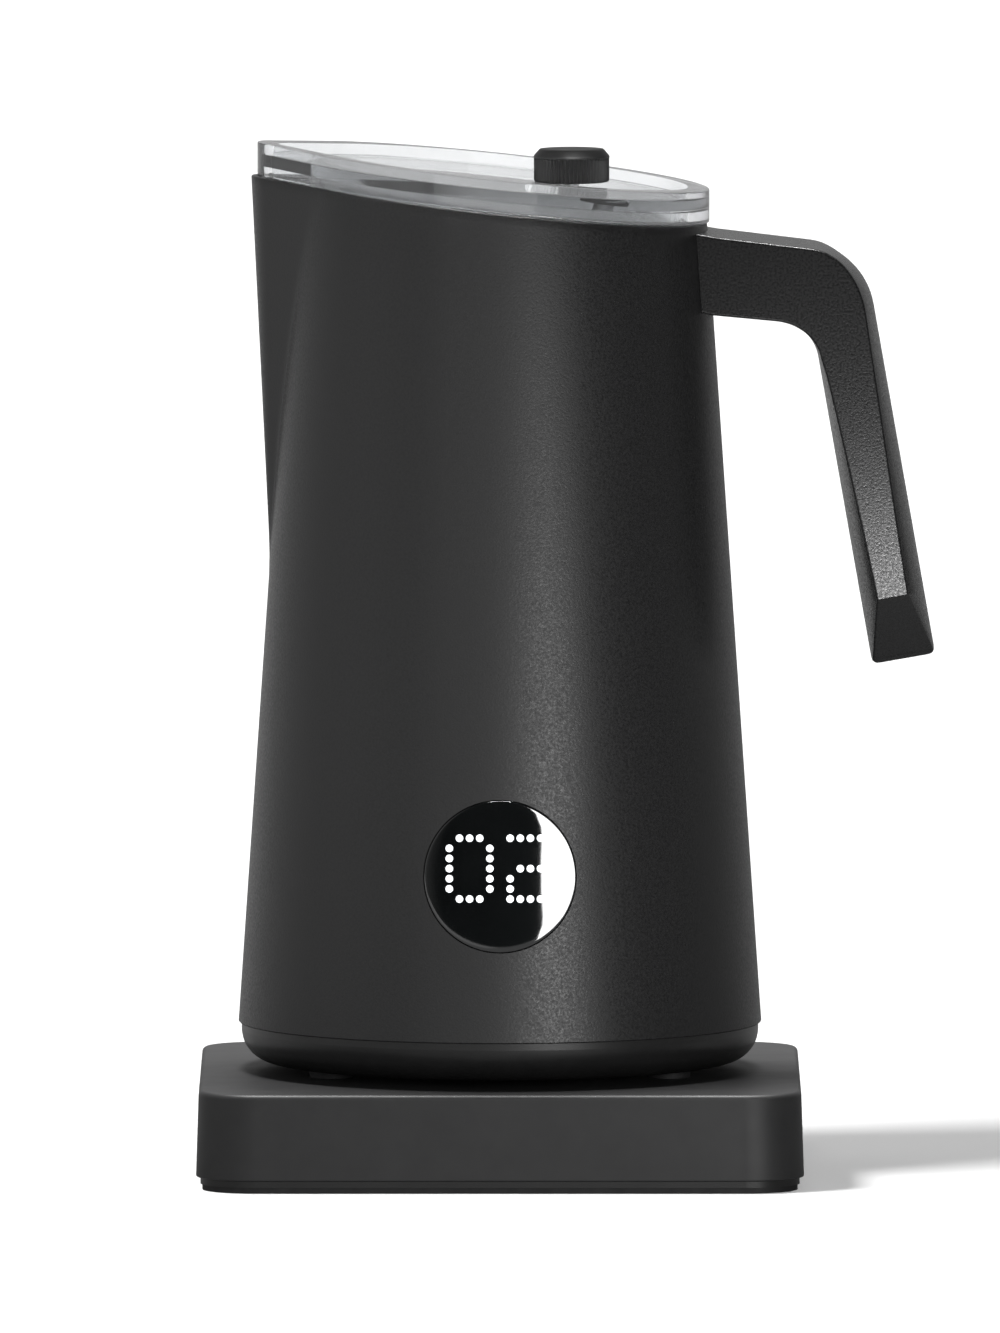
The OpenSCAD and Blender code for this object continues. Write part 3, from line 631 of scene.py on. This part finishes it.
def handle_ring(outer, inner, half, bow_out, bow_in):
    """One section of the handle, between its outer and inner point."""
    width = np.linalg.norm(outer - inner)
    across = (outer - inner) / width
    flat = half - HANDLE_EDGE
    outer_edge = width - bow_out * (flat / half) ** 2
    inner_edge = bow_in * (flat / half) ** 2
    side = []                       # (distance from the inner point, depth) round one half
    for part in ACROSS:
        y = part * flat
        side.append((width - bow_out * (y / half) ** 2, y))
    for turn in QUARTER:
        a = radians(turn)
        w = outer_edge - HANDLE_EDGE * (1 - cos(a)) - bow_out * EDGE_TUCK
        side.append((w, flat + HANDLE_EDGE * sin(a)))
    side.append((width / 2, half))
    for turn in reversed(QUARTER):
        a = radians(turn)
        w = inner_edge + HANDLE_EDGE * (1 - cos(a)) + bow_in * EDGE_TUCK
        side.append((w, flat + HANDLE_EDGE * sin(a)))
    for part in reversed(ACROSS[1:]):
        y = part * flat
        side.append((bow_in * (y / half) ** 2, y))
    side.append((0.0, 0.0))
    whole = side + [(w, -y) for w, y in reversed(side[1:-1])]
    return [(inner[0] + across[0] * w, -y, inner[1] + across[1] * w) for w, y in whole]


def handle_stations():
    """From the jug to the free end: outer point, inner point, half the width, fall of each face."""
    grip_in = GRIP - v2(GRIP_THICK, 0)
    out_centre = meet(ARM_TOP + OUT_R * inward(ARM_DIR), ARM_DIR, GRIP + OUT_R * inward(GRIP_DIR), GRIP_DIR)
    in_centre = meet(UNDER + IN_R * inward(UNDER_DIR), UNDER_DIR, grip_in + IN_R * inward(GRIP_DIR), GRIP_DIR)
    out_from = math.atan2(-inward(ARM_DIR)[1], -inward(ARM_DIR)[0])
    in_from = math.atan2(-inward(UNDER_DIR)[1], -inward(UNDER_DIR)[0])
    bend_to = math.atan2(-inward(GRIP_DIR)[1], -inward(GRIP_DIR)[0])

    # The arm
    stations = []
    out_x = (out_centre - OUT_R * inward(ARM_DIR))[0]
    in_x = (in_centre - IN_R * inward(UNDER_DIR))[0]
    for s in (0.0, 0.02, 0.25, 0.5, 0.75, 0.97):
        xo = ROOT_X + s * (out_x - ROOT_X)
        xi = ROOT_X + s * (in_x - ROOT_X)
        outer = ARM_TOP + ARM_DIR * (xo - ARM_TOP[0])
        inner = UNDER + UNDER_DIR * (xi - UNDER[0])
        stations.append((outer, inner, HALF, 0.0, 0.0))

    # The bend
    for i in range(BEND_STEPS + 1):
        s = i / BEND_STEPS
        a = out_from + (bend_to - out_from) * s
        b = in_from + (bend_to - in_from) * s
        ease = s * s * (3 - 2 * s)
        outer = out_centre + OUT_R * v2(cos(a), sin(a))
        inner = in_centre + IN_R * v2(cos(b), sin(b))
        stations.append((outer, inner, HALF, BOW_OUT * ease, BOW_IN * ease))

    # The grip
    out_face = GRIP + GRIP_DIR * (GRIP[1] - FACET_OUT_Z)
    in_face = grip_in + GRIP_DIR * (grip_in[1] - FACET_IN_Z)
    out_end = GRIP + GRIP_DIR * (GRIP[1] - END_OUT_Z)
    in_end = grip_in + GRIP_DIR * (grip_in[1] - END_IN_Z)
    for i in range(1, GRIP_STEPS + 1):
        s = i / GRIP_STEPS
        at_out = outer + (out_face - outer) * s
        at_in = inner + (in_face - inner) * s
        stations.append((at_out, at_in, HALF, BOW_OUT + MORE_OUT * s, BOW_IN + MORE_IN * s ** 0.6))

    # The chisel facet, then a small round over the end
    for s in (0.03, 0.5, 0.9):
        half = HALF + (END_HALF - HALF) * s
        fall = BOW_FACET * (1 - s)
        at_out = out_face + (out_end - out_face) * s
        at_in = in_face + (in_end - in_face) * s
        stations.append((at_out, at_in, half, fall, fall))
    along = GRIP_DIR / math.hypot(*GRIP_DIR)
    last = stations[-1][0] - stations[-1][1]
    across = last / np.linalg.norm(last)
    for turn in (20, 45, 70, 90):
        k = END_ROUND * (1 - cos(radians(turn)))
        back = END_ROUND * (1 - sin(radians(turn)))
        half = END_HALF + 0.3 - 0.25 * k - 0.5 * turn / 90
        at_out = out_end - along * back - across * k
        at_in = in_end - along * back + across * k
        stations.append((at_out, at_in, half, 0.1, 0.1))
    return stations


def make_handle():
    rings = [handle_ring(*station) for station in handle_stations()]
    # The root follows the jug's wall
    rings[0] = [(math.sqrt(max(0, (cone_r(p[2]) + ROOT_GAP) ** 2 - p[1] ** 2)), p[1], p[2]) for p in rings[0]]
    rings[1] = [(max(p[0], q[0] + ROOT_STEP), p[1], p[2]) for p, q in zip(rings[1], rings[0])]
    verts, faces = loft_data(rings, cap0="ngon", cap1="ngon")
    ob = piece("handle_grip", verts, faces, "jug", angle=26)
    even_normals(ob)
    return ob


handle = make_handle()
finish_piece(handle, handle_paint, "handle_plastic", "handle")


# ------------------------------------------------------------------ lid
# Heights in this section are over the mouth's plane
LID_R, LID_REACH, LID_NOSE = 43.6, 50.5, 12.0
RIM_W = 4.5                         # width of the raised rim
RIM_LOW, RIM_TOP = 0.2, 7.1
PANEL_TOP, PANEL_UNDER = 4.7, 2.3
RIM_ROUND = 0.35                    # at the rim's outer and inner edges
PANEL_ROUND = 0.5                   # between the rim and the panel
LOW_ROUND = 0.25                    # at the rim's lower inner edge
# The round skirt, as (radius, height): down its outside and up its inside
SKIRT = ((37.6, 2.3), (37.6, -4.7), (37.3, -5.0), (35.9, -5.0), (35.6, -4.7), (35.6, 2.3))


def tear_ring(inset, dz, n=320):
    """The lid's plan outline drawn in by inset, on a plane dz above the mouth."""
    c2 = -(LID_REACH - LID_NOSE)
    r1, r2 = LID_R - inset, LID_NOSE - inset
    turn = math.acos((LID_R - LID_NOSE) / -c2)          # half the angle over which the nose circle leads
    straight = 12
    arc_nose, arc_back = 40, n - 40 - 2 * straight
    pts = []
    for i in range(arc_back):
        a = -(pi - turn) + 2 * (pi - turn) * i / (arc_back - 1)
        pts.append((r1 * cos(a), r1 * sin(a)))
    p = (r1 * cos(pi - turn), r1 * sin(pi - turn))
    q = (c2 + r2 * cos(pi - turn), r2 * sin(pi - turn))
    for i in range(1, straight + 1):
        s = i / (straight + 1)
        pts.append((p[0] + (q[0] - p[0]) * s, p[1] + (q[1] - p[1]) * s))
    for i in range(arc_nose):
        a = pi - turn + 2 * turn * i / (arc_nose - 1)
        pts.append((c2 + r2 * cos(a), r2 * sin(a)))
    for i in range(1, straight + 1):
        s = 1 - i / (straight + 1)
        pts.append((p[0] + (q[0] - p[0]) * s, -(p[1] + (q[1] - p[1]) * s)))
    return [(x, y, MOUTH_Z + dz - TILT * x) for x, y in pts]


def circle_like(ring, r, dz):
    """A circle with a point for each point of ring, at the same bearing."""
    out = []
    for p in ring:
        a = math.atan2(p[1], p[0])
        out.append((r * cos(a), r * sin(a), MOUTH_Z + dz - TILT * r * cos(a)))
    return out


def corner_rings(i0, z0, i1, z1, i2, z2):
    """Three rings that round the corner (i1, z1) between two other points (inset, height)."""
    rings = []
    for t in (0.0, 0.5, 1.0):
        a = (1 - t) ** 2
        b = 2 * t * (1 - t)
        c = t * t
        rings.append(tear_ring(a * i0 + b * i1 + c * i2, a * z0 + b * z1 + c * z2))
    return rings


def make_lid():
    e = RIM_ROUND
    rim = corner_rings(e, RIM_LOW, 0, RIM_LOW, 0, RIM_LOW + e)
    rim += corner_rings(0, RIM_TOP - e, 0, RIM_TOP, e, RIM_TOP)
    rim += corner_rings(RIM_W - e, RIM_TOP, RIM_W, RIM_TOP, RIM_W, RIM_TOP - e)
    rim += corner_rings(RIM_W, PANEL_TOP + PANEL_ROUND, RIM_W, PANEL_TOP, RIM_W + PANEL_ROUND, PANEL_TOP)
    panel = [circle_like(rim[-1], r, PANEL_TOP) for r in (33, 20, 8)]
    under = tear_ring(RIM_W, PANEL_UNDER)
    low = [tear_ring(RIM_W - LOW_ROUND, RIM_LOW), tear_ring(RIM_W, RIM_LOW + LOW_ROUND), under]
    skirt = [circle_like(under, r, dz) for r, dz in SKIRT]
    skirt += [circle_like(under, r, PANEL_UNDER) for r in (20, 8)]
    rings = list(reversed(panel)) + list(reversed(rim)) + low + skirt
    verts, faces = loft_data(rings, cap0=(0, 0, MOUTH_Z + PANEL_TOP), cap1=(0, 0, MOUTH_Z + PANEL_UNDER))
    ob = piece("lid_clear", verts, faces, "lid", angle=30)
    even_normals(ob)
    return ob


finish_piece(make_lid(), clear_lid, "clear_lid", "lid")


# ------------------------------------------------------------------ knob
RIBS, RIB_POINTS = 60, 10
# From the bottom up: how far inside KNOB_R, height, depth of the grooves between the ribs
KNOB_PROFILE = (
    (0.75, 0.0, 0), (0.35, 0.08, 0.1), (0.08, 0.35, 0.32),
    (0.05, 0.6, 0.40), (0.05, 2.5, 0.40), (0.05, 4.6, 0.40), (0.05, 4.95, 0.2),
    (0.0, 5.15, 0.0), (0.0, 5.42, 0.0), (0.10, 5.60, 0.0),
    (1.08, KNOB_H - 0.16, 0.0), (1.28, KNOB_H, 0.0), (4, KNOB_H, 0.0),
)


def knob_ring(r, z, depth):
    n = RIBS * RIB_POINTS
    pts = []
    for i in range(n):
        a = 2 * pi * i / n
        k = 0.5 - 0.5 * cos(2 * pi * (i % RIB_POINTS) / RIB_POINTS)
        d = r - depth * (1 - (1 - k) ** 1.6)
        pts.append((KNOB_X + d * cos(a), d * sin(a), KNOB_Z + z))
    return pts


def make_knob():
    rings = [knob_ring(KNOB_R - inset, z, depth) for inset, z, depth in KNOB_PROFILE]
    verts, faces = loft_data(rings, cap0=(KNOB_X, 0, KNOB_Z), cap1=(KNOB_X, 0, KNOB_Z + KNOB_H))
    ob = piece("knob_ribbed", verts, faces, "lid", angle=40)
    even_normals(ob)
    return ob


knob = make_knob()
finish_piece(knob, knob_black, "knob_black", "lid_knob")


# ------------------------------------------------------------------ power base
TOP_ROUND = 1.1                     # radius of the cover's upper edge
LOW_CHAMFER = 0.35                  # at its lower edge
COVER_T = 2.2                       # thickness of its top
INNER_W, INNER_CORNER = 121.2, 9.6  # its inside
TOWER_HOLE = 13.1                   # radius of the hole for the connector tower
SLOT_HALF, SLOT_TOP = 5.5, 16       # the slot for the cord gland
SLOT_FROM, SLOT_TO = 59.6, 66


def square_ring(w, r, z, side=10, arc=12):
    """A square of width w with corners of radius r: each corner's arc, then the side after it."""
    c = w / 2 - r
    centres = ((c, -c), (c, c), (-c, c), (-c, -c))
    pts = []
    for q, (cx, cy) in enumerate(centres):
        start = 90 * q - 90
        for i in range(arc + 1):
            a = radians(start + 90 * i / arc)
            pts.append((cx + r * cos(a), cy + r * sin(a), z))
        nx, ny = centres[(q + 1) % 4]
        a = radians(start + 90)
        p = (cx + r * cos(a), cy + r * sin(a))
        s = (nx + r * cos(a), ny + r * sin(a))
        for i in range(1, side):
            t = i / side
            pts.append((p[0] + (s[0] - p[0]) * t, p[1] + (s[1] - p[1]) * t, z))
    return pts


def circle_from(ring, r, z):
    return [(r * cos(math.atan2(p[1], p[0])), r * sin(math.atan2(p[1], p[0])), z) for p in ring]


def make_base():
    top_w = BASE_W - BASE_DRAFT + TOP_EXTRA
    f = LOW_CHAMFER
    rings = [square_ring(BASE_W - 2 * f, BASE_CORNER - f, BASE_Z0)]
    rings.append(square_ring(BASE_W - 0.2 * f, BASE_CORNER, BASE_Z0 + 0.5 * f))
    rings.append(square_ring(BASE_W, BASE_CORNER, BASE_Z0 + f * 1.4))
    rings.append(square_ring(top_w, BASE_CORNER, BASE_H - TOP_ROUND))
    for turn in (18, 36, 54, 72, 90):
        k = TOP_ROUND * (1 - cos(radians(turn)))
        z = BASE_H - TOP_ROUND + TOP_ROUND * sin(radians(turn))
        rings.append(square_ring(top_w - 2 * k, BASE_CORNER - k, z))
    flat = rings[-1]
    rings += [circle_from(flat, r, BASE_H) for r in (50, 30, TOWER_HOLE + 0.4)]
    for r, down in ((TOWER_HOLE + 0.2, 0.05), (TOWER_HOLE, 0.35), (TOWER_HOLE, COVER_T)):
        rings.append(circle_from(flat, r, BASE_H - down))
    rings += [square_ring(INNER_W, INNER_CORNER, z) for z in (BASE_H - COVER_T, BASE_Z0)]
    verts, faces = loft_data(rings, wrap=True)
    ob = piece("base_body", verts, faces, "base", angle=30)
    slot = [(-SLOT_HALF, 0), (SLOT_HALF, 0), (SLOT_HALF, SLOT_TOP), (-SLOT_HALF, SLOT_TOP)]
    cut_away(ob, [[(x, y, z) for x, z in slot] for y in (SLOT_FROM, SLOT_TO)], 30)
    even_normals(ob)
    return ob


finish_piece(make_base(), base_plastic, "base_plastic", "base_cover")


# ------------------------------------------------------------------ whisk's spring wire
TURNS, TURN_POINTS, WIRE_SIDES = 24, 26, 8
COIL_R = 13.5                       # radius of the ring that the coil follows
TURN_R = 2.6                        # radius of each turn
WIRE_R = 0.45
coil_lo, coil_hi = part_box("whisk_coil")
COIL_Z = (coil_lo[2] + coil_hi[2]) / 2 / MM


def coil_point(t):
    """A point on the wire's middle line, for t from 0 to 1."""
    a, b = 2 * pi * t, 2 * pi * TURNS * t
    r = COIL_R + TURN_R * cos(b)
    return np.array((r * cos(a), r * sin(a), COIL_Z + TURN_R * sin(b)))


def make_coil():
    total = TURNS * TURN_POINTS
    step = 1e-5
    rings = []
    for i in range(total):
        t = i / total
        p = coil_point(t)
        d = coil_point(t + step) - coil_point(t - step)
        d /= np.linalg.norm(d)
        a = 2 * pi * t
        out = p - np.array((COIL_R * cos(a), COIL_R * sin(a), COIL_Z))
        out -= d * out.dot(d)
        out /= np.linalg.norm(out)
        side = np.cross(d, out)
        turns = [2 * pi * j / WIRE_SIDES for j in range(WIRE_SIDES)]
        rings.append([tuple(p + WIRE_R * (cos(b) * out + sin(b) * side)) for b in turns])
    verts, faces = loft_data(rings, wrap=True)
    return piece("whisk_spring", verts, faces, "whisk", angle=60)


finish_piece(make_coil(), wire_steel, "spring_wire", "whisk_coil")


# ------------------------------------------------------------------ floor; from here on, in metres
FLOOR_HALF, FLOOR_Z = 14.0, -0.0001
FRONT_Y, BEHIND_Y = 0.05, 0.25      # between these the floor's light goes from its front to its behind value
RIGHT_X, LEFT_X = -0.1, -0.4        # between these it gains its extra painted light at the left


def stage_material(name, seen_by_camera, seen_in_front, seen_behind, more_at_left):
    """A diffuse floor, dimmer in what it throws back on the object than in what the camera sees. What it
    throws back is painted light: lighter behind than in front, and more at the left.
    """
    m = bpy.data.materials.new(name)
    m.use_nodes = True
    t = m.node_tree
    p = t.nodes["Principled BSDF"]
    p.inputs["Roughness"].default_value = 1.0
    p.inputs["Specular IOR Level"].default_value = 0.0
    path = t.nodes.new("ShaderNodeLightPath")
    seen = t.nodes.new("ShaderNodeMath")
    seen.operation = "MAXIMUM"
    t.links.new(path.outputs["Is Camera Ray"], seen.inputs[0])
    t.links.new(path.outputs["Is Transmission Ray"], seen.inputs[1])
    place = t.nodes.new("ShaderNodeTexCoord")
    split = t.nodes.new("ShaderNodeSeparateXYZ")
    t.links.new(place.outputs["Object"], split.inputs["Vector"])
    depth = map_range(t, split.outputs["Y"], FRONT_Y, BEHIND_Y, seen_in_front, seen_behind)
    side = map_range(t, split.outputs["X"], RIGHT_X, LEFT_X, 0.0, more_at_left)
    total = t.nodes.new("ShaderNodeMath")
    t.links.new(depth.outputs["Result"], total.inputs[0])
    t.links.new(side.outputs["Result"], total.inputs[1])
    shade = map_range(t, seen.outputs["Value"], 0.0, 1.0, 0.0, seen_by_camera)
    t.links.new(total.outputs["Value"], shade.inputs["To Min"])
    t.links.new(shade.outputs["Result"], p.inputs["Base Color"])
    return m


def make_floor():
    s, z = FLOOR_HALF, FLOOR_Z
    me = bpy.data.meshes.new("floor")
    me.from_pydata([(-s, -s, z), (s, -s, z), (s, s, z), (-s, s, z)], [], [(0, 1, 2, 3)])
    ob = bpy.data.objects.new("floor", me)
    scene.collection.objects.link(ob)
    me.materials.append(stage_material("floor_white", seen_by_camera=0.86, seen_in_front=0.20,
                                       seen_behind=0.26, more_at_left=0.18))
    return ob


floor = make_floor()


# ------------------------------------------------------------------ lamps
def aim(ob, target):
    d = Vector(target) - ob.location
    ob.rotation_euler = d.to_track_quat("-Z", "Y").to_euler()


def place_lamp(data, loc, target, receivers):
    """Puts a lamp at loc, turned to target, that lights only the receivers."""
    ob = bpy.data.objects.new(data.name, data)
    ob.location = loc
    scene.collection.objects.link(ob)
    aim(ob, target)
    group = bpy.data.collections.new(data.name + "_lights")
    for receiver in receivers:
        group.objects.link(receiver)
    ob.light_linking.receiver_collection = group


def area(name, loc, target, width, height, power, receivers):
    data = bpy.data.lights.new(name, "AREA")
    data.shape = "RECTANGLE"
    data.size = width
    data.size_y = height
    data.energy = power
    place_lamp(data, loc, target, receivers)


def sun(name, azimuth, elevation, strength, angle, shadow=True):
    """A distant light on the floor, from the given azimuth and elevation in degrees."""
    data = bpy.data.lights.new(name, "SUN")
    data.energy = strength
    data.angle = radians(angle)
    data.use_shadow = shadow
    a, e = radians(azimuth), radians(elevation)
    place_lamp(data, (cos(a) * cos(e), sin(a) * cos(e), sin(e)), (0, 0, 0), [floor])


def on_arc(az, dist, z):
    """A place az degrees round the object from the camera's side towards +X."""
    a = radians(az)
    return (dist * sin(a), -dist * cos(a), z)


all_parts = [o for o in scene.objects if o.type == "MESH" and o not in (lens, floor)]
but_handle = [o for o in all_parts if o is not handle]
sun("floor_wash", azimuth=90, elevation=80, strength=1.7, angle=40, shadow=False)
sun("floor_left", azimuth=207, elevation=52, strength=3.6, angle=17)
area("key", on_arc(23, 0.5, 0.08), (0, 0, 0.085), width=0.17, height=0.10, power=0.66, receivers=but_handle)
area("front", on_arc(-8, 1.2, 0.25), (0, 0, 0.1), width=1.3, height=0.6, power=2.3, receivers=but_handle)
area("left", on_arc(-64, 1.2, 0.25), (0, 0, 0.1), width=1.0, height=0.8, power=0.77, receivers=all_parts)
area("overhead", (0, 0.12, 1.25), (0, 0, 0.1), width=0.5, height=0.3, power=34.0,
     receivers=[o for o in but_handle + [lens] if o is not knob])
area("brow", (0.05, 0.10, 1.25), (0.07, 0, 0.15), width=0.5, height=0.2, power=20.0, receivers=[handle])
area("crown", (0.05, -0.55, 0.75), (0.01, 0, 0.2), width=0.3, height=0.3, power=6.0, receivers=[knob])
area("kick", (0.0868, -0.165, 0.099), (0.0868, -0.0145, 0.112), width=0.035, height=0.025, power=0.105,
     receivers=[handle])
area("card", on_arc(44.2, 1.0, 0.14), (0, 0, 0.12), width=0.97, height=0.6, power=18.0, receivers=[lens])


# ------------------------------------------------------------------ light of the room
# (direction, cosine where it starts, cosine where it is full, strength)
LOBES = [
    ((0, 1, 0), 0.55, 0.95, 0.36),
    ((-0.75, 0.66, 0), 0.4, 0.95, 0.05),
    ((-1, -0.1, 0.1), 0.5, 0.95, 0.26),
]
WHITE = 1.1                         # the backdrop's brightness
SIDE_WHITE = 0.12                   # what is left of it to the sides, as seen through the clear lid
AHEAD = (-0.2, 0.98, 0)
AHEAD_FROM, AHEAD_FULL = 0.90, 0.98

world = bpy.data.worlds.new("studio")
scene.world = world
world.use_nodes = True
nt = world.node_tree
nt.nodes.clear()
ray_way = nt.nodes.new("ShaderNodeTexCoord").outputs["Generated"]
path = nt.nodes.new("ShaderNodeLightPath")


def w_math(op, a, b):
    n = nt.nodes.new("ShaderNodeMath")
    n.operation = op
    for i, v in enumerate((a, b)):
        if isinstance(v, float):
            n.inputs[i].default_value = v
        else:
            nt.links.new(v, n.inputs[i])
    return n.outputs[0]


def towards(direction, start, full, low, high):
    """A soft step from low to high as a ray's way nears direction."""
    dot = nt.nodes.new("ShaderNodeVectorMath")
    dot.operation = "DOT_PRODUCT"
    nt.links.new(ray_way, dot.inputs[0])
    dot.inputs[1].default_value = direction
    step = map_range(nt, dot.outputs["Value"], start, full, low, high)
    step.interpolation_type = "SMOOTHSTEP"
    return step.outputs["Result"]


room = nt.nodes.new("ShaderNodeBackground")
first, second, third = [towards(Vector(way).normalized(), start, full, 0.0, strength)
                        for way, start, full, strength in LOBES]
nt.links.new(w_math("ADD", w_math("ADD", first, second), third), room.inputs["Color"])

# The camera sees white all round. Through the clear lid the room is white behind the object and dim
# to the sides.
seen = nt.nodes.new("ShaderNodeBackground")
seen.inputs["Color"].default_value = (1, 1, 1, 1)
to_camera = w_math("MULTIPLY", path.outputs["Is Camera Ray"], WHITE)
through_lid = towards(AHEAD, AHEAD_FROM, AHEAD_FULL, SIDE_WHITE, WHITE)
nt.links.new(w_math("MAXIMUM", to_camera, through_lid), seen.inputs["Strength"])

mix = nt.nodes.new("ShaderNodeMixShader")
is_seen = w_math("MAXIMUM", path.outputs["Is Camera Ray"], path.outputs["Is Transmission Ray"])
nt.links.new(is_seen, mix.inputs["Fac"])
nt.links.new(room.outputs["Background"], mix.inputs[1])
nt.links.new(seen.outputs["Background"], mix.inputs[2])
nt.links.new(mix.outputs["Shader"], nt.nodes.new("ShaderNodeOutputWorld").inputs["Surface"])

scene.view_settings.view_transform = "Standard"
scene.view_settings.look = "None"

# ------------------------------------------------------------------ camera
ELEVATION = radians(4.6)
DISTANCE = 8.0
AIM = Vector((0.0, 0.0, 0.1045))
cam_data = bpy.data.cameras.new("camera")
cam_data.sensor_width = 36
cam_data.lens = 1037
cam_data.clip_start = 0.1
cam_data.clip_end = 60
cam = bpy.data.objects.new("camera", cam_data)
scene.collection.objects.link(cam)
scene.camera = cam
cam.location = AIM + DISTANCE * Vector((0, -cos(ELEVATION), sin(ELEVATION)))
aim(cam, AIM)
